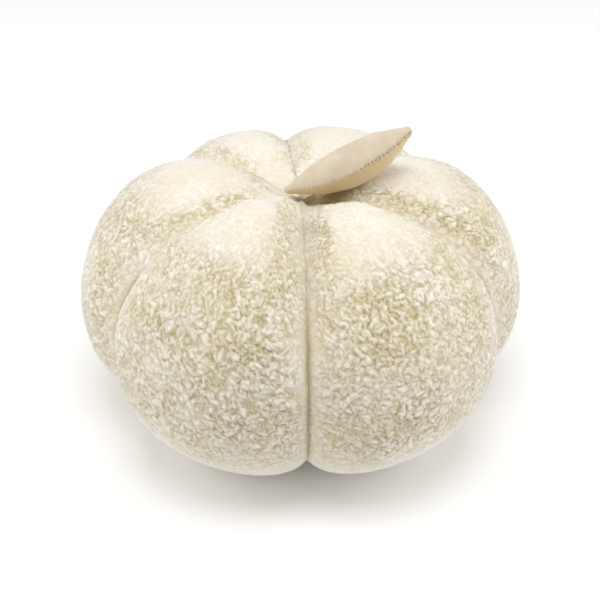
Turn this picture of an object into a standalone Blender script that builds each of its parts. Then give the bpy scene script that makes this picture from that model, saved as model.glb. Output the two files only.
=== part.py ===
"""Pumpkin cushion: a plump six-lobed body of curly pile cloth with a stuffed stem sewn into its top dimple.

Units are metres, +Z is up and the cushion stands on z = 0 with its front at -Y. The body is one filled
solid whose six gores swell between sewn meridian seams. The stem is a second filled solid: two panels
sewn into a spindle that leans to the right and rises towards its tip.
"""

from collections import namedtuple
from math import cos, pi, radians, sin

import bmesh
import bpy
import numpy as np
from mathutils import Vector
from mathutils.bvhtree import BVHTree

# Body, as it stands
WAIST_HEIGHT = 0.1075
DIMPLE_HEIGHT = 0.2025
DIMPLE_ROUNDING = 1.6
HUB_RADIUS = 0.006
UNDERSIDE_DIMPLE_HEIGHT = 0.025
FOOT_INNER_RADIUS = 0.055
FOOT_PRESS = 0.006

# Crest of a lobe, and the sewn seam between two lobes
CREST_SHOULDER_RADIUS = 0.071
SEAM_REACH = 0.176
SEAM_SHOULDER_RADIUS = 0.0535
SEAM_TOP_HEIGHT = 0.2105
SEAM_BOTTOM_HEIGHT = 0.012
ROUNDNESS = 2.17
LOBE_FULLNESS = 2.2
SEAM_SHARPNESS = 0.45

# Each gore's first seam, counted in degrees from the front towards the right, and how far and how high
# its crest swells
Gore = namedtuple("Gore", "name first_seam_deg reach height")
GORES = (
    Gore("front right", 2.0, 0.199, 0.235),
    Gore("right", 69.0, 0.202, 0.232),
    Gore("back right", 130.0, 0.194, 0.224),
    Gore("back left", 187.0, 0.195, 0.223),
    Gore("left", 230.0, 0.201, 0.229),
    Gore("front left", 298.0, 0.198, 0.242),
)
GORE_COLUMNS = 14
DIMPLE_ROWS = 7
SHOULDER_ROWS = 14
FLANK_ROWS = 15
UNDERSIDE_ROWS = 5

# Stem, laid out along its chord before it is seated
STEM_ROOT_X = -0.0135
STEM_ROOT_Y = -0.003
STEM_RUN = 0.1065
STEM_BACKWARD_RUN = 0.012
STEM_RISE = 0.0535
STEM_SAG = 0.0055
STEM_SEAM_TILT_DEG = 22.0
STEM_SEAT_GAP = 0.0003
STEM_SIDES = 24
STEM_LENS_POWER = 0.70

# Half width across the seams and half thickness of the stem at shares of its length
StemSection = namedtuple("StemSection", "share half_width half_thickness")
STEM_SECTIONS = (
    StemSection(0.03, 0.0065, 0.0060),
    StemSection(0.10, 0.0104, 0.0095),
    StemSection(0.25, 0.0153, 0.0139),
    StemSection(0.50, 0.0197, 0.0183),
    StemSection(0.75, 0.0172, 0.0158),
    StemSection(0.90, 0.0108, 0.0096),
    StemSection(0.97, 0.0065, 0.0057),
)
STEM_ROWS = 26

PILE_COLOUR = (0.78, 0.71, 0.55, 1.0)
STEM_COLOUR = (0.62, 0.48, 0.32, 1.0)
CLOTH_ROUGHNESS = 0.95
SMOOTH_ANGLE_DEG = 50.0


def clear_scene():
    """Remove every object that the file opened with."""
    for thing in list(bpy.data.objects):
        bpy.data.objects.remove(thing, do_unlink=True)


def cloth_material(name, colour):
    """Return a matt Principled material."""
    material = bpy.data.materials.new(name)
    material.use_nodes = True
    shader = material.node_tree.nodes["Principled BSDF"]
    shader.inputs["Base Color"].default_value = colour
    shader.inputs["Roughness"].default_value = CLOTH_ROUGHNESS
    shader.inputs["Metallic"].default_value = 0.0
    return material


def meridian(reach, top, shoulder_radius, bottom):
    """Return radius and height along one meridian, from the top hub to the underside hub.

    It climbs out of the top dimple on a power curve, turns over the shoulder and the flank as two
    quarters of a superellipse, and runs back under the cushion as a parabola into the underside dimple.
    """
    climb = np.linspace(0, 1, DIMPLE_ROWS, endpoint=False)
    dimple_r = HUB_RADIUS + (shoulder_radius - HUB_RADIUS) * climb
    dimple_z = DIMPLE_HEIGHT + (top - DIMPLE_HEIGHT) * (1 - (1 - climb) ** DIMPLE_ROUNDING)

    power = 2 / ROUNDNESS
    over = np.linspace(0, pi / 2, SHOULDER_ROWS, endpoint=False)
    shoulder_r = shoulder_radius + (reach - shoulder_radius) * np.sin(over) ** power
    shoulder_z = WAIST_HEIGHT + (top - WAIST_HEIGHT) * np.cos(over) ** power

    under = np.linspace(0, pi / 2, FLANK_ROWS, endpoint=False)
    flank_r = FOOT_INNER_RADIUS + (reach - FOOT_INNER_RADIUS) * np.cos(under) ** power
    flank_z = WAIST_HEIGHT + (bottom - WAIST_HEIGHT) * np.sin(under) ** power

    inward = np.linspace(0, 1, UNDERSIDE_ROWS)
    base_r = FOOT_INNER_RADIUS + (HUB_RADIUS - FOOT_INNER_RADIUS) * inward
    base_z = bottom + (UNDERSIDE_DIMPLE_HEIGHT - bottom) * inward ** 2

    radius = np.concatenate([dimple_r, shoulder_r, flank_r, base_r])
    height = np.concatenate([dimple_z, shoulder_z, flank_z, base_z])
    return radius, height


def gore_columns():
    """Return each column's azimuth, and how far it has swelled from its seam towards its crest."""
    spread = np.sin(np.linspace(-pi / 2, pi / 2, GORE_COLUMNS, endpoint=False))
    swell = (1 - np.abs(spread) ** LOBE_FULLNESS) ** SEAM_SHARPNESS
    return spread, swell


def body_points():
    """Return the body's surface as rows from the top hub down and columns around it."""
    seam_r, seam_z = meridian(SEAM_REACH, SEAM_TOP_HEIGHT, SEAM_SHOULDER_RADIUS, SEAM_BOTTOM_HEIGHT)
    spread, swell = gore_columns()
    blocks = []
    for index, gore in enumerate(GORES):
        following = GORES[(index + 1) % len(GORES)].first_seam_deg
        if following < gore.first_seam_deg:
            following += 360.0
        middle = (gore.first_seam_deg + following) / 2
        half = (following - gore.first_seam_deg) / 2
        azimuth = np.radians(middle + spread * half)
        crest_r, crest_z = meridian(gore.reach, gore.height, CREST_SHOULDER_RADIUS, -FOOT_PRESS)
        radius = seam_r[:, None] + (crest_r - seam_r)[:, None] * swell
        height = seam_z[:, None] + (crest_z - seam_z)[:, None] * swell
        height = np.maximum(height, 0.0)
        block = np.stack([radius * np.sin(azimuth), -radius * np.cos(azimuth), height], axis=-1)
        blocks.append(block)
    return np.concatenate(blocks, axis=1)


def closed_grid(name, points, material):
    """Return an object whose rings of points are joined by quads, with a flat cap at each end."""
    columns = points.shape[1]
    mesh = bmesh.new()
    rings = [[mesh.verts.new(Vector(place)) for place in row] for row in points.tolist()]
    for upper, lower in zip(rings, rings[1:]):
        for column in range(columns):
            beside = (column + 1) % columns
            mesh.faces.new((upper[column], lower[column], lower[beside], upper[beside]))
    mesh.faces.new(rings[0])
    mesh.faces.new(list(reversed(rings[-1])))
    bmesh.ops.recalc_face_normals(mesh, faces=mesh.faces)
    data = bpy.data.meshes.new(name)
    mesh.to_mesh(data)
    mesh.free()
    data.shade_smooth()
    data.set_sharp_from_angle(angle=radians(SMOOTH_ANGLE_DEG))
    data.materials.append(material)
    thing = bpy.data.objects.new(name, data)
    bpy.context.collection.objects.link(thing)
    return thing


def stem_frame():
    """Return the chord of the stem and the two directions across it.

    The first runs from seam to seam. On the side that faces the front it tilts up by the seam's tilt.
    """
    chord = Vector((STEM_RUN, STEM_BACKWARD_RUN, STEM_RISE))
    along = chord.normalized()
    level = along.cross(Vector((0, 0, 1))).normalized()
    upright = level.cross(along).normalized()
    tilt = radians(STEM_SEAM_TILT_DEG)
    across = level * cos(tilt) + upright * sin(tilt)
    through = upright * cos(tilt) - level * sin(tilt)
    return chord, across, through


def stem_shares():
    """Return the places of the stem's rings along its chord, closer together at the rounded ends."""
    return (1 - np.cos(np.linspace(0.0, pi, STEM_ROWS + 2)[1:-1])) / 2


def stem_points():
    """Return the stem's surface as rings along a chord that starts at the origin.

    Each ring is a lens with its corners at the two seams. Past the first and the last section the ring
    shrinks as a quarter of an ellipse, which rounds the end.
    """
    chord, across, through = stem_frame()
    known = [section.share for section in STEM_SECTIONS]
    widths = [section.half_width for section in STEM_SECTIONS]
    depths = [section.half_thickness for section in STEM_SECTIONS]
    turn = np.linspace(0, 2 * pi, STEM_SIDES, endpoint=False)
    lens_u = np.cos(turn)
    lens_v = np.sign(np.sin(turn)) * np.abs(np.sin(turn)) ** (2 * STEM_LENS_POWER)
    rings = []
    for share in stem_shares():
        rounding = 1.0
        if share < known[0]:
            rounding = (1 - (1 - share / known[0]) ** 2) ** 0.5
        if share > known[-1]:
            rounding = (1 - ((share - known[-1]) / (1 - known[-1])) ** 2) ** 0.5
        half_width = np.interp(share, known, widths) * rounding
        half_depth = np.interp(share, known, depths) * rounding
        middle = chord * share - through * STEM_SAG * sin(pi * share)
        ring = [middle + across * half_width * u + through * half_depth * v for u, v in zip(lens_u, lens_v)]
        rings.append([tuple(place) for place in ring])
    return np.array(rings)


def seat(stem, body):
    """Lower the stem until the seat gap is all that is left between it and the dimple under it."""
    down = Vector((0, 0, -1))
    cloth = BVHTree.FromPolygons([v.co for v in body.data.vertices], [p.vertices for p in body.data.polygons])
    places = [stem.location + vertex.co for vertex in stem.data.vertices]
    drops = [cloth.ray_cast(place, down)[3] for place in places]
    underside = BVHTree.FromPolygons(places, [p.vertices for p in stem.data.polygons])
    drops += [underside.ray_cast(vertex.co, -down)[3] for vertex in body.data.vertices]
    clearance = min(drop for drop in drops if drop is not None)
    stem.location.z -= clearance - STEM_SEAT_GAP


def build_body():
    """Return the filled body."""
    return closed_grid("cushion_body", body_points(), cloth_material("curly_pile", PILE_COLOUR))


def build_stem(body):
    """Return the stuffed stem, seated in the top dimple of the body."""
    stem = closed_grid("stem", stem_points(), cloth_material("stem_velvet", STEM_COLOUR))
    highest = max(gore.height for gore in GORES)
    stem.location = (STEM_ROOT_X, STEM_ROOT_Y, highest + STEM_RUN)
    seat(stem, body)
    return stem


def centre_over_origin(body, stem):
    """Move the cushion level until the origin is under the middle of the body's outline."""
    corners = np.array([vertex.co for vertex in body.data.vertices])
    middle = (corners.min(axis=0) + corners.max(axis=0)) / 2
    for thing in (body, stem):
        thing.location.x -= middle[0]
        thing.location.y -= middle[1]


def main():
    """Build the cushion."""
    clear_scene()
    body = build_body()
    stem = build_stem(body)
    centre_over_origin(body, stem)


main()
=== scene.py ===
"""Pumpkin cushion: curly pile lobes drawn in by six sewn seams, with a stuffed velvet stem on top.

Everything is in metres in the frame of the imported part: +Z is up and the front seam faces -Y. The pile
cloth is blown up by a cloth simulation that is held along its seams, brought back to the part's own form,
refined, and then raised into curls. The stem is two velvet panels, sewn edge to edge with visible thread.
"""

import logging
from dataclasses import dataclass, field
from enum import Enum
from math import cos, pi, radians, sin

import bpy
import numpy as np
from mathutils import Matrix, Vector

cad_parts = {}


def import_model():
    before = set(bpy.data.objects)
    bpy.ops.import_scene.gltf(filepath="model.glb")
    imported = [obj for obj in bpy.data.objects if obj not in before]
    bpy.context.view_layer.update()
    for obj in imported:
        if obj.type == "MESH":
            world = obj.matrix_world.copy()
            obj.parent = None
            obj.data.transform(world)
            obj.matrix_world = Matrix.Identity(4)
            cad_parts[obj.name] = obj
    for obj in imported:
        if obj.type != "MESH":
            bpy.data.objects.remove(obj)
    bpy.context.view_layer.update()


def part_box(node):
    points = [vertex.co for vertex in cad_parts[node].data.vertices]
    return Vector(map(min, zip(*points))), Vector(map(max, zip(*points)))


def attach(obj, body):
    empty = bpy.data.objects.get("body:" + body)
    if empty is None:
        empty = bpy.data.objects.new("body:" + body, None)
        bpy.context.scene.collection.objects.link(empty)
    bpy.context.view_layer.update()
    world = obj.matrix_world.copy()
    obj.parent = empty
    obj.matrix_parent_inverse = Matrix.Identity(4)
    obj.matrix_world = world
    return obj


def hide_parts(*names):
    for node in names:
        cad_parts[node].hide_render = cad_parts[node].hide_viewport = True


log = logging.getLogger("pumpkin_cushion")

MM = 0.001
BODY_NAME = "root"


class Slot(Enum):
    """The record's material slots."""

    PILE = "pile_cloth"
    VELVET = "stem_velvet"


class Side(Enum):
    """The two sewn edges of the stem, as the turn around its section where each one lies."""

    FRONT = 0.0
    BACK = pi


# Numbers that repeat for the same place


def mixed(value: np.ndarray) -> np.ndarray:
    """Scramble whole numbers by two rounds of shift, exclusive-or and multiply.

    Args:
        value: Unsigned 32-bit whole numbers.

    Returns:
        Scrambled unsigned 32-bit whole numbers.
    """
    value = (value ^ (value >> np.uint32(16))) * np.uint32(0x7FEB352D)
    value = (value ^ (value >> np.uint32(15))) * np.uint32(0x846CA68B)
    return value ^ (value >> np.uint32(16))


def lattice_random(cells: np.ndarray, seed: int) -> np.ndarray:
    """Give each lattice cell three steady random numbers.

    Args:
        cells: Whole-numbered cells, one a row.
        seed: Picks one family of numbers.

    Returns:
        Numbers from 0 to 1, three a row.
    """
    whole = cells.astype(np.int64).astype(np.uint32)
    key = mixed(whole[:, 0] + np.uint32(seed * 7919 % 2 ** 32))
    key = mixed(key ^ whole[:, 1])
    key = mixed(key ^ whole[:, 2])
    parts = [mixed(key + np.uint32(step)) for step in (11, 23, 47)]
    return np.stack(parts, axis=1).astype(np.float64) / 2 ** 32


def cloud(places: np.ndarray, size: float, seed: int) -> np.ndarray:
    """Soft noise: the smoothed blend of random numbers at the eight corners of each place's cell.

    Args:
        places: Points, one a row.
        size: Cell size in metres.
        seed: Picks one family of numbers.

    Returns:
        Three soft numbers from -1 to 1 for each point.
    """
    scaled = places / size
    base = np.floor(scaled)
    share = scaled - base
    share = share * share * (3 - 2 * share)
    total = np.zeros_like(places)
    for corner in np.ndindex(2, 2, 2):
        step = np.array(corner)
        weight = np.prod(np.where(step == 1, share, 1 - share), axis=1)
        total += weight[:, None] * lattice_random(base + step, seed)
    return total * 2 - 1


def billow(places: np.ndarray, size: float, seed: int) -> np.ndarray:
    """Soft swellings parted by thin winding creases: sloped noise, folded upwards where it falls below zero.

    Each lattice corner has a random slope. The noise is the blend of what the eight slopes around a place
    give there, and the crease runs where it is zero.

    Args:
        places: Points, one a row.
        size: Lattice size in metres.
        seed: Picks one family of slopes.

    Returns:
        Heights from 0 in a crease to 1 on a swelling.
    """
    scaled = places / size
    base = np.floor(scaled)
    offset = scaled - base
    share = offset ** 3 * (offset * (offset * 6 - 15) + 10)
    total = np.zeros(len(places))
    for corner in np.ndindex(2, 2, 2):
        step = np.array(corner)
        slope = lattice_random(base + step, seed) * 2 - 1
        weight = np.prod(np.where(step == 1, share, 1 - share), axis=1)
        total += weight * np.sum(slope * (offset - step), axis=1)
    return np.clip(np.abs(total) / 0.32, 0, 1) ** 0.6


def eased(value: np.ndarray) -> np.ndarray:
    """Clip to the span from 0 to 1 and ease both ends."""
    value = np.clip(value, 0, 1)
    return value * value * (3 - 2 * value)


# Grids of points


def cubic_weights(known: int, wanted: np.ndarray) -> np.ndarray:
    """Weights that read a Catmull-Rom curve through evenly numbered points.

    Each wanted place takes four points, weighted by the four cubic blending curves of its share of the
    way between the middle two. Past an end, the end point is doubled by mirroring its neighbour.

    Args:
        known: How many points the curve runs through.
        wanted: Places to read, counted in points from 0 to known - 1.

    Returns:
        One row of weights for each wanted place.
    """
    low = np.clip(np.floor(wanted).astype(int), 0, known - 2)
    share = wanted - low
    blends = (
        (-share + 2 * share ** 2 - share ** 3) / 2,
        (2 - 5 * share ** 2 + 3 * share ** 3) / 2,
        (share + 4 * share ** 2 - 3 * share ** 3) / 2,
        (share ** 3 - share ** 2) / 2,
    )
    weights = np.zeros((len(wanted), known))
    rows = np.arange(len(wanted))
    for step, blend in zip((-1, 0, 1, 2), blends):
        index = low + step
        before, after = index < 0, index > known - 1
        inside = ~(before | after)
        np.add.at(weights, (rows[inside], index[inside]), blend[inside])
        for outside, end, inner in ((before, 0, 1), (after, known - 1, known - 2)):
            np.add.at(weights, (rows[outside], np.full(outside.sum(), end)), 2 * blend[outside])
            np.add.at(weights, (rows[outside], np.full(outside.sum(), inner)), -blend[outside])
    return weights


def even_places(line: np.ndarray, count: int, density: np.ndarray | float = 1.0) -> np.ndarray:
    """Share a line of points into equal lengths.

    Args:
        line: Points along the line.
        count: How many places to return, both ends among them.
        density: How closely the places lie on each stretch between two points, against the others.

    Returns:
        Places counted in points, equally far apart along the line where the density is the same.
    """
    lengths = np.linalg.norm(np.diff(line, axis=0), axis=1) * density
    travelled = np.concatenate([[0.0], np.cumsum(lengths)])
    return np.interp(np.linspace(0, travelled[-1], count), travelled, np.arange(len(line)))


def grid_normals(grid: np.ndarray) -> np.ndarray:
    """Outward unit normals of a grid, as the cross product of its downward and sideways slopes."""
    normal = np.cross(np.gradient(grid, axis=0), np.gradient(grid, axis=1))
    return normal / np.maximum(np.linalg.norm(normal, axis=2, keepdims=True), 1e-12)


def smoothed(values: np.ndarray, passes: int, ring: bool) -> np.ndarray:
    """Blur a grid of vectors by passes of a one-two-one average along both of its directions.

    Args:
        values: The grid.
        passes: How many times to blur.
        ring: Whether the second direction runs around and meets itself.

    Returns:
        The blurred grid.
    """
    for _ in range(passes):
        above = np.concatenate([values[:1], values[:-1]])
        below = np.concatenate([values[1:], values[-1:]])
        values = (above + 2 * values + below) / 4
        if ring:
            values = (np.roll(values, 1, axis=1) + 2 * values + np.roll(values, -1, axis=1)) / 4
        else:
            before = np.concatenate([values[:, :1], values[:, :-1]], axis=1)
            after = np.concatenate([values[:, 1:], values[:, -1:]], axis=1)
            values = (before + 2 * values + after) / 4
    return values


def ring_faces(rows: int, columns: int) -> np.ndarray:
    """Quads of a tube of points whose rows run around, as corner numbers facing outwards."""
    row, column = np.meshgrid(np.arange(rows - 1), np.arange(columns), indexing="ij")
    beside = (column + 1) % columns
    corners = (row * columns + column, (row + 1) * columns + column,
               (row + 1) * columns + beside, row * columns + beside)
    return np.stack([corner.ravel() for corner in corners], axis=1)


def sheet_faces(rows: int, columns: int) -> np.ndarray:
    """Quads of an open grid of points, as corner numbers facing outwards."""
    row, column = np.meshgrid(np.arange(rows - 1), np.arange(columns - 1), indexing="ij")
    first = (row * columns + column).ravel()
    return np.stack([first, first + columns, first + columns + 1, first + 1], axis=1)


def mesh_object(name: str, points: np.ndarray, quads: np.ndarray, triangles: np.ndarray) -> bpy.types.Object:
    """Make a smooth-shaded mesh object at the origin.

    Args:
        name: The piece's name.
        points: Vertices, one a row.
        quads: Corner numbers, four a row.
        triangles: Corner numbers, three a row.

    Returns:
        The linked object.
    """
    mesh = bpy.data.meshes.new(name)
    mesh.vertices.add(len(points))
    mesh.vertices.foreach_set("co", points.ravel())
    corners = np.concatenate([quads.ravel(), triangles.ravel()])
    starts = np.concatenate([np.arange(len(quads)) * 4, len(quads) * 4 + np.arange(len(triangles)) * 3])
    mesh.loops.add(len(corners))
    mesh.loops.foreach_set("vertex_index", corners.astype(np.int32))
    mesh.polygons.add(len(starts))
    mesh.polygons.foreach_set("loop_start", starts.astype(np.int32))
    mesh.update(calc_edges=True)
    mesh.validate()
    mesh.shade_smooth()
    thing = bpy.data.objects.new(name, mesh)
    bpy.context.collection.objects.link(thing)
    return thing


def paint(thing: bpy.types.Object, name: str, values: np.ndarray) -> None:
    """Store one number for each vertex, for the material to read."""
    attribute = thing.data.attributes.new(name, "FLOAT", "POINT")
    attribute.data.foreach_set("value", values.astype(np.float32))


# Cloth under pressure


@dataclass(frozen=True)
class Stuffing:
    """How a sewn cover is blown up by its filling."""

    pressure: float
    spare_cloth: float
    stiffness: float
    bending: float
    cap: float
    frames: int = 20

    def inflate(self, grid: np.ndarray, sewn: np.ndarray) -> np.ndarray:
        """Blow a ring grid up with Blender's cloth, held where it is sewn.

        Args:
            grid: Rows of points that run around.
            sewn: How firmly each point is held, from 0 to 1.

        Returns:
            The blown-up grid, with no point further than the cap from where it began.
        """
        rows, columns = grid.shape[:2]
        thing = mesh_object("cover", grid.reshape(-1, 3), ring_faces(rows, columns), np.empty((0, 3), int))
        group = thing.vertex_groups.new(name="sewn")
        for index, weight in enumerate(sewn.ravel().tolist()):
            group.add([index], weight, "REPLACE")
        cloth = thing.modifiers.new("Cloth", "CLOTH")
        cloth.settings.quality = 6
        cloth.settings.mass = 0.3
        cloth.settings.tension_stiffness = self.stiffness
        cloth.settings.compression_stiffness = self.stiffness
        cloth.settings.shear_stiffness = self.stiffness / 3
        cloth.settings.bending_stiffness = self.bending
        cloth.settings.vertex_group_mass = "sewn"
        cloth.settings.use_pressure = True
        cloth.settings.uniform_pressure_force = self.pressure
        cloth.settings.shrink_min = -self.spare_cloth
        cloth.settings.effector_weights.gravity = 0.0
        cloth.collision_settings.use_collision = False
        cloth.point_cache.frame_start = 1
        cloth.point_cache.frame_end = self.frames
        scene = bpy.context.scene
        for frame in range(1, self.frames + 1):
            scene.frame_set(frame)
        ready = thing.evaluated_get(bpy.context.evaluated_depsgraph_get())
        blown = np.empty(rows * columns * 3)
        ready.data.vertices.foreach_get("co", blown)
        mesh = thing.data
        bpy.data.objects.remove(thing, do_unlink=True)
        bpy.data.meshes.remove(mesh)
        scene.frame_set(1)
        move = blown.reshape(grid.shape) - grid
        length = np.linalg.norm(move, axis=2, keepdims=True)
        return grid + move * np.minimum(1, self.cap / np.maximum(length, 1e-9))


# Materials


def linear(colour: str) -> tuple[float, float, float, float]:
    """Turn an sRGB hex colour into a linear one."""
    parts = [int(colour[place:place + 2], 16) / 255 for place in (1, 3, 5)]
    bright = [part / 12.92 if part <= 0.04045 else ((part + 0.055) / 1.055) ** 2.4 for part in parts]
    return (bright[0], bright[1], bright[2], 1.0)


def add_node(tree: bpy.types.NodeTree, kind: str, settings: dict, links: dict) -> bpy.types.Node:
    """Add a node with its settings and links.

    Args:
        tree: The material's node tree.
        kind: Blender's name for the node.
        settings: Socket values by socket name or number, and node properties by their own name.
        links: The output that feeds each input.

    Returns:
        The new node.
    """
    node = tree.nodes.new(kind)
    for name, value in settings.items():
        if isinstance(name, str) and hasattr(node, name):
            setattr(node, name, value)
        else:
            node.inputs[name].default_value = value
    for name, output in links.items():
        tree.links.new(output, node.inputs[name])
    return node


def colour_steps(node: bpy.types.Node, steps: tuple[tuple[float, str], ...]) -> None:
    """Give a colour ramp its steps, each a place and an sRGB hex colour."""
    ramp = node.color_ramp
    while len(ramp.elements) < len(steps):
        ramp.elements.new(0.5)
    for element, (place, colour) in zip(ramp.elements, steps):
        element.position = place
        element.color = linear(colour)


@dataclass(frozen=True)
class CurlyPile:
    """Knitted-back polyester pile, tumbled into small curls: matt, soft-edged, darker between curls."""

    name: str = "curly_polyester_pile"
    backing_and_shadow: str = "#a88a4c"
    shade: str = "#bbad86"
    face: str = "#d3c9b0"
    tip: str = "#f0ebe1"
    curl: float = 1.9 * MM
    fibre: float = 0.9 * MM
    drift: float = 45 * MM

    def build(self) -> bpy.types.Material:
        """Return the material.

        The colour runs from the tan backing between curls, darkened further there as painted shade, to the pale
        tips by the stored nap height, which a finer noise shifts. The nap height also carries painted light on
        the upward-facing tops and painted shade along the seams and under the stem's root. Two sizes of bump
        draw the turns of each curl and its loose fibres, both coarser than real fibre.
        """
        material = bpy.data.materials.new(self.name)
        material.use_nodes = True
        tree = material.node_tree
        shader = tree.nodes["Principled BSDF"]
        place = add_node(tree, "ShaderNodeTexCoord", {}, {}).outputs["Object"]
        nap = add_node(tree, "ShaderNodeAttribute", {"attribute_name": "nap"}, {}).outputs["Fac"]
        turns = add_node(tree, "ShaderNodeTexNoise", {"Scale": 1 / self.curl, "Detail": 2.0, "Distortion": 1.2},
                         {"Vector": place})
        lift = add_node(tree, "ShaderNodeMath", {"operation": "MULTIPLY_ADD", 1: 0.28},
                        {0: turns.outputs["Fac"], 2: nap})
        level = add_node(tree, "ShaderNodeMath", {"operation": "SUBTRACT", 1: 0.14}, {0: lift.outputs[0]})
        # Low nap reads the tan backing colours, which also stand as painted shade in the creases between curls,
        # along the seams and under the stem's root.
        ramp = add_node(tree, "ShaderNodeValToRGB", {}, {"Fac": level.outputs[0]})
        colour_steps(ramp, ((0.0, self.backing_and_shadow), (0.25, self.shade), (0.50, self.face), (0.85, self.tip)))
        wide = add_node(tree, "ShaderNodeTexNoise", {"Scale": 1 / self.drift, "Detail": 2.0},
                        {"Vector": place})
        warm = add_node(tree, "ShaderNodeValToRGB", {}, {"Fac": wide.outputs["Fac"]})
        colour_steps(warm, ((0.3, "#faf6ea"), (0.7, "#ffffff")))
        tinted = add_node(tree, "ShaderNodeMix", {"data_type": "RGBA", "blend_type": "MULTIPLY", "Factor": 1.0},
                          {6: ramp.outputs["Color"], 7: warm.outputs["Color"]})
        fibres = add_node(tree, "ShaderNodeTexNoise", {"Scale": 1 / self.fibre, "Detail": 2.0},
                          {"Vector": place})
        coarse = add_node(tree, "ShaderNodeBump", {"Strength": 0.28, "Distance": 0.7 * MM},
                          {"Height": turns.outputs["Fac"]})
        fine = add_node(tree, "ShaderNodeBump", {"Strength": 0.25, "Distance": 0.4 * MM},
                        {"Height": fibres.outputs["Fac"], "Normal": coarse.outputs["Normal"]})
        tree.links.new(tinted.outputs[2], shader.inputs["Base Color"])
        tree.links.new(fine.outputs["Normal"], shader.inputs["Normal"])
        shader.inputs["Roughness"].default_value = 0.95
        shader.inputs["IOR"].default_value = 1.5
        shader.inputs["Specular IOR Level"].default_value = 0.15
        shader.inputs["Sheen Weight"].default_value = 1.0
        shader.inputs["Sheen Roughness"].default_value = 0.45
        shader.inputs["Sheen Tint"].default_value = linear("#ffffff")
        return material


@dataclass(frozen=True)
class StemVelvet:
    """Short velvet in beige: matt, paler where the nap is brushed up, golden on the panel underneath as painted
    warm bounce light.
    """

    name: str = "short_velvet"
    dark: str = "#c9b79c"
    light: str = "#dacdba"
    under: str = "#dfcaa2"
    seam_groove_shade: str = "#b39a74"
    speck: str = "#8f7a5c"
    brushed: float = 16 * MM
    grain: float = 1.0 * MM
    nap: float = 0.6 * MM

    def build(self) -> bpy.types.Material:
        """Return the material.

        Brushed patches blend two beiges, the lower panel turns golden as painted warm bounce light, and the
        stored closeness to a seam darkens it there as painted shade in the seam groove and mixes in the dark
        specks of rubbed nap. A fine noise raises the nap.
        """
        material = bpy.data.materials.new(self.name)
        material.use_nodes = True
        tree = material.node_tree
        shader = tree.nodes["Principled BSDF"]
        place = add_node(tree, "ShaderNodeTexCoord", {}, {}).outputs["Object"]
        patches = add_node(tree, "ShaderNodeTexNoise", {"Scale": 1 / self.brushed, "Detail": 3.0},
                           {"Vector": place})
        ramp = add_node(tree, "ShaderNodeValToRGB", {}, {"Fac": patches.outputs["Fac"]})
        colour_steps(ramp, ((0.25, self.dark), (0.75, self.light)))
        lower = add_node(tree, "ShaderNodeAttribute", {"attribute_name": "lower"}, {}).outputs["Fac"]
        # Painted warm bounce light: the panel underneath turns golden.
        golden = add_node(tree, "ShaderNodeMix", {"data_type": "RGBA", 7: linear(self.under)},
                          {"Factor": lower, 6: ramp.outputs["Color"]})
        seam = add_node(tree, "ShaderNodeAttribute", {"attribute_name": "seam"}, {}).outputs["Fac"]
        # Painted shade in the seam groove.
        groove_shaded = add_node(tree, "ShaderNodeMix", {"data_type": "RGBA", 7: linear(self.seam_groove_shade)},
                          {"Factor": seam, 6: golden.outputs[2]})
        rubbed = add_node(tree, "ShaderNodeAttribute", {"attribute_name": "rubbed"}, {}).outputs["Fac"]
        grain = add_node(tree, "ShaderNodeTexNoise", {"Scale": 1 / self.grain, "Detail": 1.0},
                         {"Vector": place})
        specks = add_node(tree, "ShaderNodeMapRange", {1: 0.50, 2: 0.66}, {0: grain.outputs["Fac"]})
        amount = add_node(tree, "ShaderNodeMath", {"operation": "MULTIPLY"},
                          {0: specks.outputs[0], 1: rubbed})
        speckled = add_node(tree, "ShaderNodeMix", {"data_type": "RGBA", 7: linear(self.speck)},
                            {"Factor": amount.outputs[0], 6: groove_shaded.outputs[2]})
        fine = add_node(tree, "ShaderNodeTexNoise", {"Scale": 1 / self.nap, "Detail": 2.0},
                        {"Vector": place})
        bump = add_node(tree, "ShaderNodeBump", {"Strength": 0.35, "Distance": 0.3 * MM},
                        {"Height": fine.outputs["Fac"]})
        tree.links.new(speckled.outputs[2], shader.inputs["Base Color"])
        tree.links.new(bump.outputs["Normal"], shader.inputs["Normal"])
        shader.inputs["Roughness"].default_value = 0.9
        shader.inputs["IOR"].default_value = 1.5
        shader.inputs["Specular IOR Level"].default_value = 0.2
        shader.inputs["Sheen Weight"].default_value = 0.5
        shader.inputs["Sheen Roughness"].default_value = 0.35
        shader.inputs["Sheen Tint"].default_value = linear("#fff4e8")
        return material


@dataclass(frozen=True)
class SewingThread:
    """Spun polyester sewing thread: slightly shiny twisted plies, darker than the velvet it closes."""

    name: str = "spun_sewing_thread"
    colour: str = "#e0d3b8"
    ply: float = 0.5 * MM

    def build(self) -> bpy.types.Material:
        """Return the material: bands across the thread lighten and raise its plies."""
        material = bpy.data.materials.new(self.name)
        material.use_nodes = True
        tree = material.node_tree
        shader = tree.nodes["Principled BSDF"]
        place = add_node(tree, "ShaderNodeTexCoord", {}, {}).outputs["Object"]
        bands = add_node(tree, "ShaderNodeTexWave", {"Scale": 0.3 / self.ply, "Distortion": 1.0},
                         {"Vector": place})
        ramp = add_node(tree, "ShaderNodeValToRGB", {}, {"Fac": bands.outputs["Fac"]})
        colour_steps(ramp, ((0.0, self.colour), (1.0, "#f6ecd8")))
        bump = add_node(tree, "ShaderNodeBump", {"Strength": 0.4, "Distance": 0.1 * MM},
                        {"Height": bands.outputs["Fac"]})
        tree.links.new(ramp.outputs["Color"], shader.inputs["Base Color"])
        tree.links.new(bump.outputs["Normal"], shader.inputs["Normal"])
        shader.inputs["Roughness"].default_value = 0.6
        shader.inputs["Specular IOR Level"].default_value = 0.3
        return material


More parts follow.
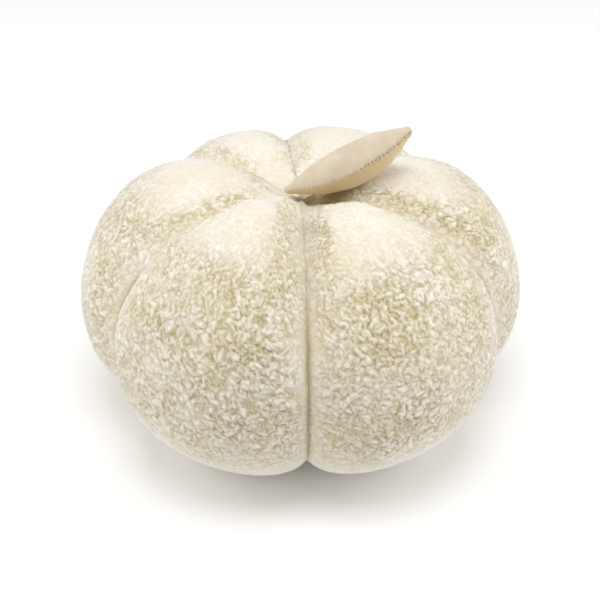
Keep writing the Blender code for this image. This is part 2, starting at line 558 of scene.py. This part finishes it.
@dataclass(frozen=True)
class PaintedFloor:
    """White wall paint on a smooth floor: matt and even, with no gloss."""

    name: str = "matt_white_paint"
    colour: str = "#fbfbfb"

    def build(self) -> bpy.types.Material:
        """Return the material."""
        material = bpy.data.materials.new(self.name)
        material.use_nodes = True
        shader = material.node_tree.nodes["Principled BSDF"]
        shader.inputs["Base Color"].default_value = linear(self.colour)
        shader.inputs["Roughness"].default_value = 0.9
        shader.inputs["Specular IOR Level"].default_value = 0.1
        return material


# The filled body


@dataclass(frozen=True)
class Gore:
    """One panel of pile cloth: where its first seam runs, and how far and how high it swells."""

    name: str
    first_seam_deg: float
    reach: float
    height: float


GORES = (
    Gore("front_right", 2.0, 0.199, 0.235),
    Gore("right", 69.0, 0.202, 0.232),
    Gore("back_right", 130.0, 0.194, 0.224),
    Gore("back_left", 187.0, 0.195, 0.223),
    Gore("left", 230.0, 0.201, 0.229),
    Gore("front_left", 298.0, 0.198, 0.242),
)


@dataclass
class FilledBody:
    """The six sewn gores, filled."""

    gores: tuple[Gore, ...] = GORES
    waist_height: float = 0.1075
    dimple_height: float = 0.2025
    dimple_rounding: float = 1.6
    hub_radius: float = 0.006
    underside_height: float = 0.025
    foot_radius: float = 0.055
    foot_press: float = 0.006
    crest_shoulder: float = 0.071
    seam_reach: float = 0.176
    seam_shoulder: float = 0.0535
    seam_top: float = 0.2105
    seam_bottom: float = 0.012
    roundness: float = 2.17
    fullness: float = 2.2
    sharpness: float = 0.45
    sim_rows: int = 60
    sim_columns: int = 16
    rows: int = 392
    columns_per_degree: float = 3.2
    clump: float = 7.0 * MM
    curl: float = 3.6 * MM
    curl_depth: float = 3.0 * MM
    pile_bed: float = 2.0 * MM
    pile_at_seam: float = 1.6 * MM
    pile_in_groove: float = 4.5 * MM
    seam_wander: float = 0.9 * MM
    bunched_middle: tuple[float, float] = (-0.012, -0.012)
    bunched_radius: float = 0.018
    bunched_height: float = 9.0 * MM
    stem_shadow_middle: tuple[float, float] = (0.022, -0.006)
    stem_shadow_radius: float = 0.027
    stuffing: Stuffing = Stuffing(pressure=4.0, spare_cloth=0.05, stiffness=15.0, bending=0.4, cap=16 * MM)
    middle: np.ndarray = field(default_factory=lambda: np.zeros(3))

    def meridian(self, reach: float, top: float, shoulder: float, bottom: float) -> np.ndarray:
        """One meridian from the top hub to the underside hub.

        A power curve climbs out of the dimple, two quarters of a superellipse turn over the shoulder and
        the flank, and a parabola runs back under the cushion.

        Args:
            reach: Largest radius.
            top: Largest height.
            shoulder: Radius of the largest height.
            bottom: Height of the foot.

        Returns:
            Radius and height, one pair a row.
        """
        climb = np.linspace(0, 1, 24, endpoint=False)
        over = np.linspace(0, pi / 2, 60, endpoint=False)
        inward = np.linspace(0, 1, 20)
        power = 2 / self.roundness
        rise = 1 - (1 - climb) ** self.dimple_rounding
        radius = np.concatenate([
            self.hub_radius + (shoulder - self.hub_radius) * climb,
            shoulder + (reach - shoulder) * np.sin(over) ** power,
            self.foot_radius + (reach - self.foot_radius) * np.cos(over) ** power,
            self.foot_radius + (self.hub_radius - self.foot_radius) * inward,
        ])
        height = np.concatenate([
            self.dimple_height + (top - self.dimple_height) * rise,
            self.waist_height + (top - self.waist_height) * np.cos(over) ** power,
            self.waist_height + (bottom - self.waist_height) * np.sin(over) ** power,
            bottom + (self.underside_height - bottom) * inward ** 2,
        ])
        return np.stack([radius, height], axis=1)

    def form(self) -> np.ndarray:
        """The part's own form as rows from the top hub down and columns around it.

        Across a gore a column swells from the seam's meridian towards the crest's by
        (1 - |s| ^ fullness) ^ sharpness, where s is the sine of its angle from the crest. Rows are
        equally far apart along the crest.

        Returns:
            The grid of points.
        """
        seam = self.meridian(self.seam_reach, self.seam_top, self.seam_shoulder, self.seam_bottom)
        guide = self.meridian(0.199, 0.232, self.crest_shoulder, -self.foot_press)
        picked = cubic_weights(len(guide), even_places(guide, self.sim_rows))
        seam = picked @ seam
        spread = np.sin(np.linspace(-pi / 2, pi / 2, self.sim_columns, endpoint=False))
        swell = (1 - np.abs(spread) ** self.fullness) ** self.sharpness
        blocks = []
        for index, gore in enumerate(self.gores):
            first, second = self.span_deg(index)
            azimuth = np.radians((first + second) / 2 + spread * (second - first) / 2)
            crest = picked @ self.meridian(gore.reach, gore.height, self.crest_shoulder, -self.foot_press)
            profile = seam[:, None, :] + (crest - seam)[:, None, :] * swell[:, None]
            radius, height = profile[..., 0], profile[..., 1]
            blocks.append(np.stack([radius * np.sin(azimuth), -radius * np.cos(azimuth), height], axis=-1))
        return np.concatenate(blocks, axis=1)

    def place(self) -> None:
        """Read from the frame where the body's outline is centred, and keep it for every later step."""
        low, high = (np.array(corner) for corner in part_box("cushion_body"))
        grid = self.form().reshape(-1, 3)
        self.middle = (low + high) / 2 - (grid.min(axis=0) + grid.max(axis=0)) / 2
        self.middle[2] = 0.0

    def blown(self) -> np.ndarray:
        """The cover after its filling has pressed it out between the seams.

        The simulation's widest swelling is taken away again by a much blurred copy of its movement, so
        the lobes keep the part's form, and what stays are the broad dents and swells of the filling.

        Returns:
            The grid of points, not yet pressed flat underneath.
        """
        grid = self.form()
        sewn = np.zeros(grid.shape[:2])
        sewn[:, ::self.sim_columns] = 1.0
        sewn[:2] = 1.0
        sewn[-2:] = 1.0
        move = self.stuffing.inflate(grid, sewn) - grid
        swells = smoothed(move, 3, ring=True) - smoothed(move, 24, ring=True)
        swells *= (1 - sewn)[..., None]
        log.info("cover moved %.1f mm at most, swells up to %.1f mm",
                 np.linalg.norm(move, axis=2).max() / MM, np.linalg.norm(swells, axis=2).max() / MM)
        return grid + swells

    def span_deg(self, index: int) -> tuple[float, float]:
        """Azimuths of a gore's first and second seam, the second always the larger."""
        first = self.gores[index].first_seam_deg
        second = self.gores[(index + 1) % len(self.gores)].first_seam_deg
        return first, second + (360.0 if second < first else 0.0)

    def lobe_grid(self, cover: np.ndarray, index: int) -> np.ndarray:
        """One lobe's outer skin, refined to a fine grid of nearly even squares, wider underneath.

        Args:
            cover: The whole cover's grid.
            index: Which gore.

        Returns:
            The lobe's grid, both of its seams included.
        """
        around = np.arange(index * self.sim_columns, (index + 1) * self.sim_columns + 1) % cover.shape[1]
        coarse = cover[:, around]
        crest = coarse[:, self.sim_columns // 2]
        waist = int(np.argmax(np.linalg.norm(crest[:, :2], axis=1)))
        hidden = (crest[1:, 2] < 0.004) & (np.arange(1, len(crest)) > waist)
        down = even_places(crest, self.rows, np.where(hidden, 0.3, 1.0))
        sample = cubic_weights(self.sim_columns + 1, np.linspace(0, self.sim_columns, 257))
        first, second = self.span_deg(index)
        columns = int((second - first) * self.columns_per_degree)
        across = even_places(sample @ coarse[waist], columns) * self.sim_columns / 256
        row_weights = cubic_weights(len(coarse), down)
        column_weights = cubic_weights(self.sim_columns + 1, across)
        return np.einsum("ri,ijk,cj->rck", row_weights, coarse, column_weights)

    def curls(self, grid: np.ndarray) -> tuple[np.ndarray, np.ndarray]:
        """Raise a lobe's skin into curls.

        Two sizes of folded noise, read at wandering places, make clumps and the curls on them. Towards a
        seam, the dimple and the floor the curls fade, and beside a seam the pile stands off its backing.

        Args:
            grid: The lobe's smooth skin.

        Returns:
            The raised grid, and how high in its curl each point lies, from 0 to 1. Where the curls fade it lies
            higher, which paints light from above onto the upward-facing tops.
        """
        flat = grid.reshape(-1, 3)
        warped = flat + cloud(flat, 7 * MM, 3) * 2.4 * MM + cloud(flat, 3 * MM, 5) * 0.8 * MM
        clumps = billow(warped, self.clump, 17).reshape(grid.shape[:2])
        turns = billow(warped, self.curl, 29).reshape(grid.shape[:2])
        raised = 0.42 * clumps + 0.58 * turns - 0.62
        step = np.linalg.norm(np.diff(grid, axis=1), axis=2)
        from_left = np.concatenate([np.zeros((len(grid), 1)), np.cumsum(step, axis=1)], axis=1)
        from_seam = np.minimum(from_left, from_left[:, -1:] - from_left)
        patchy = cloud(flat, 30 * MM, 61)[:, 0].reshape(from_seam.shape)
        normal = grid_normals(grid)
        loose = 0.84 * (0.25 + 0.75 * eased(from_seam / (26 * MM)))
        loose *= 0.07 + 0.93 * eased((grid[..., 2] - 25 * MM) / (75 * MM))
        loose *= 1 - 0.74 * eased((normal[..., 2] - 0.82) / 0.14)
        loose *= 1 + 0.25 * patchy
        raised *= loose
        # The nap sits higher, and so paler, where the curls fade: painted light from above on the upward-facing
        # tops, and paler too low down and beside the seams.
        nap = 0.55 + 0.26 * (1 - loose) + raised
        high = eased((grid[..., 2] - 0.10) / 0.11)
        lumps = 1 + 0.7 * cloud(flat, 6 * MM, 67)[:, 0].reshape(from_seam.shape)
        closing = self.pile_at_seam * np.exp(-(from_seam / (12 * MM)) ** 2) * (0.3 + 0.7 * high) * lumps
        filling = self.pile_in_groove * np.exp(-(from_seam / (4 * MM)) ** 2) * (0.4 + 0.6 * high)
        radial = grid * [1, 1, 0] / np.maximum(np.linalg.norm(grid[..., :2], axis=2, keepdims=True), 1 * MM)
        upright = normal * [0, 0, 1] + radial * np.sum(normal * radial, axis=2, keepdims=True)
        upright /= np.maximum(np.linalg.norm(upright, axis=2, keepdims=True), 0.05)
        lift = raised * self.curl_depth + closing
        rise = filling - self.pile_bed * eased(grid[..., 2] / (30 * MM))
        return grid + normal * lift[..., None] + upright * rise[..., None], nap

    def painted_seam_and_stem_shade(self, skin: np.ndarray, nap: np.ndarray, index: int) -> np.ndarray:
        """Lower the nap height, which the material colours by, as painted shade along both seams and a painted
        shadow under the stem's root.

        Args:
            skin: The lobe's raised grid.
            nap: How high in its curl each point lies.
            index: Which gore.

        Returns:
            The nap height, less along both seams and under the stem's root.
        """
        # Painted shade in the seam creases, weakened high up and near the floor.
        low = 1 - 0.95 * eased((skin[..., 2] - 0.165) / 0.055) - 0.6 * eased((0.07 - skin[..., 2]) / 0.05)
        for degrees in self.span_deg(index):
            turn = radians(degrees)
            from_plane = np.abs(skin @ np.array([cos(turn), sin(turn), 0.0]))
            nap = nap - 0.5 * low * np.exp(-(from_plane / (2.6 * MM)) ** 2)
        # Painted shadow under the stem's root.
        from_root = np.linalg.norm(skin[..., :2] - self.stem_shadow_middle, axis=2)
        return nap * (1 - 0.75 * eased(1.3 - from_root / self.stem_shadow_radius))

    def kept_apart(self, skin: np.ndarray, index: int) -> np.ndarray:
        """Press a lobe's skin in where it would pass one of the two walls it shares with its neighbours.

        A wall stands on the seam's plane and wanders a little to both sides of it by soft noise, which
        both neighbours read at the same places, so their pile interlocks.

        Args:
            skin: The lobe's raised grid.
            index: Which gore.

        Returns:
            The grid, no closer to either wall than half the gap between two lobes.
        """
        gap = 0.1 * MM
        for degrees, inward in zip(self.span_deg(index), (1.0, -1.0)):
            turn = radians(degrees)
            across = np.array([cos(turn), sin(turn), 0.0])
            offset = skin @ across
            foot = (skin - offset[..., None] * across).reshape(-1, 3)
            wander = cloud(foot, 5 * MM, 71)[:, 0].reshape(offset.shape) * self.seam_wander
            offset = offset + wander * np.exp(-(offset / (4 * MM)) ** 2)
            short = np.maximum(0, gap - inward * (offset - wander))
            skin = skin + across * (offset - skin @ across + inward * short)[..., None]
        return skin

    def lobe(self, cover: np.ndarray, index: int) -> bpy.types.Object:
        """Make one lobe: its curled skin, closed by two flat walls that meet at the cushion's axis.

        Args:
            cover: The whole cover's grid.
            index: Which gore.

        Returns:
            The closed piece.
        """
        smooth = self.lobe_grid(cover, index)
        smooth[..., 2] = np.maximum(smooth[..., 2], 0.0)
        from_bunch = np.linalg.norm(smooth[..., :2] - self.bunched_middle, axis=2)
        bunched = self.bunched_height * np.exp(-(from_bunch / self.bunched_radius) ** 2)
        smooth[..., 2] += np.where(smooth[..., 2] > self.waist_height, bunched, 0.0)
        skin, nap = self.curls(smooth)
        skin = self.kept_apart(skin, index)
        nap = self.painted_seam_and_stem_shade(skin, nap, index)
        skin[..., 2] = np.maximum(skin[..., 2], 0.0)
        rows, columns = skin.shape[:2]
        core = np.zeros((rows, 3))
        core[:, 2] = np.linspace(skin[0, :, 2].mean(), skin[-1, :, 2].mean(), rows)
        points = np.concatenate([skin.reshape(-1, 3), core]) + self.middle
        first = np.arange(rows - 1) * columns
        axis = rows * columns + np.arange(rows - 1)
        last = first + columns - 1
        walls = np.concatenate([
            np.stack([axis, axis + 1, first + columns, first], axis=1),
            np.stack([last, last + columns, axis + 1, axis], axis=1),
        ])
        step = np.arange(columns - 1)
        foot = (rows - 1) * columns
        top = np.stack([np.full(columns - 1, rows * columns), step, step + 1], axis=1)
        base = np.stack([np.full(columns - 1, rows * columns + rows - 1), foot + step + 1, foot + step], axis=1)
        quads = np.concatenate([sheet_faces(rows, columns), walls])
        name = f"lobe_{self.gores[index].name}"
        thing = mesh_object(name, points, quads, np.concatenate([top, base]))
        paint(thing, "nap", np.concatenate([nap.ravel(), np.full(rows, 0.3)]))
        return thing

    def build(self) -> None:
        self.place()
        cover = self.blown()
        pile = CurlyPile().build()
        for index in range(len(self.gores)):
            thing = self.lobe(cover, index)
            thing.data.materials.append(pile)
            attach(thing, BODY_NAME)
            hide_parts("cushion_body")
            log.info("%s: %d faces", thing.name, len(thing.data.polygons))


# The stem


@dataclass(frozen=True)
class StemSection:
    """Half width across the seams and half thickness at a share of the stem's length."""

    share: float
    half_width: float
    half_thickness: float


STEM_SECTIONS = (
    StemSection(0.03, 0.0040, 0.0038),
    StemSection(0.10, 0.0074, 0.0070),
    StemSection(0.25, 0.0153, 0.0139),
    StemSection(0.50, 0.0197, 0.0183),
    StemSection(0.75, 0.0168, 0.0152),
    StemSection(0.90, 0.0104, 0.0085),
    StemSection(0.97, 0.0062, 0.0048),
)


@dataclass
class StuffedStem:
    """Two velvet panels sewn into a spindle and stuffed."""

    sections: tuple[StemSection, ...] = STEM_SECTIONS
    run: float = 0.1065
    backward_run: float = 0.012
    rise: float = 0.0535
    sag: float = 0.0055
    seam_tilt_deg: float = 12.0
    lens_power: float = 0.70
    rows: int = 230
    sides: int = 128
    groove_width: float = 1.1 * MM
    groove_depth: float = 0.5 * MM
    gather_pitch: float = 5.0 * MM
    gather_depth: float = 0.35 * MM
    stitch_pitch: float = 3.4 * MM
    stitch_length: float = 2.4 * MM
    thread_radius: float = 0.34 * MM

    def directions(self) -> tuple[np.ndarray, np.ndarray, np.ndarray]:
        """The chord, the direction from the back seam to the front seam, and the one through the stem."""
        chord = Vector((self.run, self.backward_run, self.rise))
        along = chord.normalized()
        level = along.cross(Vector((0, 0, 1))).normalized()
        upright = level.cross(along).normalized()
        tilt = radians(self.seam_tilt_deg)
        across = level * cos(tilt) + upright * sin(tilt)
        through = upright * cos(tilt) - level * sin(tilt)
        return np.array(chord), np.array(across), np.array(through)

    def half_sizes(self, share: np.ndarray) -> tuple[np.ndarray, np.ndarray]:
        """Half width and half thickness along the stem.

        The sections are joined by a cubic through their sizes, and past the first and the last one the
        stem rounds off as a quarter of an ellipse.

        Args:
            share: Places along the chord, from 0 to 1.

        Returns:
            The two half sizes at each place.
        """
        known = np.array([section.share for section in self.sections])
        counted = np.interp(share, known, np.arange(len(known)))
        weights = cubic_weights(len(known), counted)
        width = weights @ np.array([section.half_width for section in self.sections])
        depth = weights @ np.array([section.half_thickness for section in self.sections])
        root = np.sqrt(np.clip(1 - np.clip(1 - share / known[0], 0, 1) ** 2, 0, 1))
        tip = np.sqrt(np.clip(1 - np.clip((share - known[-1]) / (1 - known[-1]), 0, 1) ** 2, 0, 1))
        return width * root * tip, depth * root * tip

    def surface(self, share: np.ndarray, turn: np.ndarray) -> np.ndarray:
        """Points of the smooth stem: lens-shaped rings along a sagging chord.

        Args:
            share: Places along the chord.
            turn: Places around the section, where 0 is the front seam and pi the back one.

        Returns:
            The grid of points, a ring for each place along the chord.
        """
        chord, across, through = self.directions()
        width, depth = self.half_sizes(share)
        lens = np.sign(np.sin(turn)) * np.abs(np.sin(turn)) ** (2 * self.lens_power)
        middle = share[:, None] * chord - np.sin(pi * share)[:, None] * through * self.sag
        return (middle[:, None, :] + width[:, None, None] * np.cos(turn)[:, None] * across
                + depth[:, None, None] * lens[:, None] * through)

    def offset(self) -> np.ndarray:
        """How far the chord's start is moved, so that the stem is centred in the box of its solid."""
        share = (1 - np.cos(np.linspace(0.0, pi, 28)[1:-1])) / 2
        points = self.surface(share, np.linspace(0, 2 * pi, 24, endpoint=False)).reshape(-1, 3)
        low, high = (np.array(corner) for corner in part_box("stem"))
        return (low + high) / 2 - (points.min(axis=0) + points.max(axis=0)) / 2

    def panels(self) -> bpy.types.Object:
        """Make the two panels as one closed skin, drawn in and gathered along both seams.

        Beside a seam the skin sinks by a bell curve across it, and waves along it that fade away from
        it stand for the gathers. A slow noise dents the filling.

        Returns:
            The closed piece.
        """
        share = (1 - np.cos(np.linspace(0.0, pi, self.rows + 2)[1:-1])) / 2
        turn = np.linspace(0, 2 * pi, self.sides, endpoint=False)
        turn = turn + 0.22 * np.sin(-2 * turn)
        grid = self.surface(share, turn)
        width, _ = self.half_sizes(share)
        nearest_turn = np.abs((turn + pi / 2) % pi - pi / 2)
        from_seam = width[:, None] * nearest_turn[None, :]
        travelled = share * float(np.linalg.norm(self.directions()[0]))
        ends = np.clip(np.minimum(share, 1 - share) / 0.06, 0, 1)[:, None]
        groove = -self.groove_depth * np.exp(-(from_seam / self.groove_width) ** 2)
        phase = 2 * pi * travelled / self.gather_pitch
        flat = grid.reshape(-1, 3)
        wander = cloud(flat, 12 * MM, 41)[:, 0].reshape(from_seam.shape)
        gathers = np.sin(phase[:, None] + 3.0 * wander) * np.exp(-(from_seam / (4.5 * MM)) ** 2)
        gathers *= self.gather_depth * np.clip(from_seam / (1.5 * MM), 0, 1)
        dents = cloud(flat, 22 * MM, 43)[:, 1].reshape(from_seam.shape) * 0.5 * MM
        lift = (groove + gathers + dents) * ends
        points = grid + self.outward(grid) * lift[..., None]
        rows, sides = self.rows, self.sides
        root, tip = points[0].mean(axis=0), points[-1].mean(axis=0)
        vertices = np.concatenate([points.reshape(-1, 3), [root, tip]]) + self.offset()
        around = np.arange(sides)
        beside = (around + 1) % sides
        last = (rows - 1) * sides
        root_fan = np.stack([np.full(sides, rows * sides), around, beside], axis=1)
        tip_fan = np.stack([np.full(sides, rows * sides + 1), last + beside, last + around], axis=1)
        thing = mesh_object("stem_cover", vertices, ring_faces(rows, sides),
                            np.concatenate([root_fan, tip_fan]))
        towards_tip = eased((share - 0.40) / 0.25)[:, None]
        # Painted shade in the seam groove, stronger towards the tip.
        seam_groove_shade = np.exp(-(from_seam / (1.3 * self.groove_width)) ** 2) * (0.15 + 0.85 * towards_tip)
        rubbed = np.exp(-(from_seam / (4.5 * MM)) ** 2) * (0.15 + 0.85 * towards_tip)
        # The panel underneath, which the velvet turns golden as painted warm bounce light.
        lower = eased(0.5 - np.sin(turn) * 1.6)[None, :] * np.ones((rows, 1))
        for name, values in (("seam", seam_groove_shade), ("rubbed", rubbed), ("lower", lower)):
            paint(thing, name, np.concatenate([values.ravel(), [0.0, 0.0]]))
        return thing

    def outward(self, grid: np.ndarray) -> np.ndarray:
        """Unit normals of a grid whose rows run around the stem."""
        wrapped = np.concatenate([grid[:, -1:], grid, grid[:, :1]], axis=1)
        return grid_normals(wrapped)[:, 1:-1]

    def stitches(self) -> bpy.types.Object:
        """Make the thread that closes both seams, as short slanted stitches along them.

        A stitch is a tube whose radius and height above the seam follow half a sine from end to end.

        Returns:
            All the stitches as one piece.
        """
        chord, across, through = self.directions()
        length = float(np.linalg.norm(chord))
        count = int(0.86 * length / self.stitch_pitch)
        share = np.linspace(0.08, 0.95, count)
        ring_count, side_count = 7, 6
        along_stitch = np.linspace(-0.5, 0.5, ring_count)
        hump = np.cos(pi * along_stitch)
        radius = self.thread_radius * (0.35 + 0.65 * hump)
        turn = np.linspace(0, 2 * pi, side_count, endpoint=False)
        rows = []
        for edge in Side:
            outward = across * cos(edge.value)
            seam = self.surface(share, np.array([edge.value]))[:, 0]
            ahead = np.gradient(seam, axis=0)
            ahead /= np.linalg.norm(ahead, axis=1, keepdims=True)
            slant = ahead * 0.80 + through * 0.60
            slant /= np.linalg.norm(slant, axis=1, keepdims=True)
            beside = np.cross(slant, outward)
            beside /= np.linalg.norm(beside, axis=1, keepdims=True)
            spine = (seam[:, None, :] + slant[:, None, :] * (along_stitch * self.stitch_length)[:, None]
                     + outward * ((hump * 0.55 - 0.32) * MM)[:, None])
            circle = beside[:, None, None, :] * np.cos(turn)[:, None] + outward * np.sin(turn)[:, None]
            rows.append(spine[:, :, None, :] + circle * radius[None, :, None, None])
        points = np.concatenate(rows).reshape(-1, 3) + self.offset()
        starts = np.arange(2 * count)[:, None, None] * ring_count * side_count
        quads = (ring_faces(ring_count, side_count)[None] + starts).reshape(-1, 4)
        fan = np.arange(1, side_count - 1)
        first_cap = np.stack([np.zeros_like(fan), fan, fan + 1], axis=1)
        last_cap = first_cap[:, ::-1] + (ring_count - 1) * side_count
        triangles = (np.concatenate([first_cap, last_cap])[None] + starts).reshape(-1, 3)
        return mesh_object("stem_stitches", points, quads, triangles)

    def build(self) -> None:
        cover = self.panels()
        cover.data.materials.append(StemVelvet().build())
        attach(cover, BODY_NAME)
        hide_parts("stem")
        log.info("%s: %d faces", cover.name, len(cover.data.polygons))
        thread = self.stitches()
        thread.data.materials.append(SewingThread().build())
        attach(thread, BODY_NAME)
        log.info("%s: %d faces", thread.name, len(thread.data.polygons))


# Floor, light and camera


@dataclass
class Studio:
    """A white floor under soft light from above, and the camera."""

    floor_half: float = 5.0
    aim: tuple[float, float, float] = (-0.0010, 0.0011, 0.0982)
    distance: float = 1.0
    elevation_deg: float = 37.9
    lens: float = 64.2
    sensor: float = 36.0

    def floor(self) -> None:
        """Lay the floor just under the cushion."""
        half = self.floor_half
        corners = np.array([(-half, -half, 0), (half, -half, 0), (half, half, 0), (-half, half, 0)], float)
        thing = mesh_object("floor", corners - [0, 0, 0.2 * MM], np.array([[0, 1, 2, 3]]), np.empty((0, 3), int))
        thing.data.materials.append(PaintedFloor().build())

    def lamp(self, name: str, place: tuple[float, float, float], width: float, height: float,
             power: float) -> None:
        """Hang one white softbox that faces the cushion.

        Args:
            name: The light's name.
            place: Where it hangs.
            width: Its level side.
            height: Its other side.
            power: Its power in watts.
        """
        light = bpy.data.lights.new(name, "AREA")
        light.shape = "RECTANGLE"
        light.size = width
        light.size_y = height
        light.energy = power
        thing = bpy.data.objects.new(name, light)
        thing.location = place
        thing.rotation_euler = (Vector((0, 0, 0.12)) - Vector(place)).to_track_quat("-Z", "Y").to_euler()
        bpy.context.collection.objects.link(thing)

    def daylight(self, colour: str, strength: float) -> None:
        """Fill the room with even light."""
        world = bpy.data.worlds.new("white_room")
        world.use_nodes = True
        backdrop = world.node_tree.nodes["Background"]
        backdrop.inputs["Color"].default_value = linear(colour)
        backdrop.inputs["Strength"].default_value = strength
        bpy.context.scene.world = world

    def camera(self) -> None:
        """Place the camera in front of the cushion, looking down at it."""
        tilt = radians(self.elevation_deg)
        back = Vector((0, -cos(tilt), sin(tilt)))
        data = bpy.data.cameras.new("camera")
        data.lens = self.lens
        data.sensor_width = self.sensor
        thing = bpy.data.objects.new("camera", data)
        thing.location = Vector(self.aim) + back * self.distance
        thing.rotation_euler = (-back).to_track_quat("-Z", "Y").to_euler()
        bpy.context.collection.objects.link(thing)
        bpy.context.scene.camera = thing

    def build(self) -> None:
        """Set the whole studio."""
        self.floor()
        self.daylight("#ffffff", 0.46)
        self.lamp("overhead", (0.0, -0.30, 2.4), 1.25, 1.25, 26.0)
        self.lamp("left_softbox", (-2.4, 0.0, 1.4), 1.2, 2.4, 28.0)
        self.lamp("right_softbox", (2.4, 0.0, 1.4), 1.2, 2.4, 28.0)
        self.camera()
        bpy.context.scene.view_settings.view_transform = "Standard"


def main() -> None:
    """Load the frame and build the studio and the cushion around it."""
    logging.basicConfig(level=logging.INFO, format="%(name)s: %(message)s")
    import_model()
    Studio().build()
    FilledBody().build()
    StuffedStem().build()


if __name__ == "__main__":
    main()
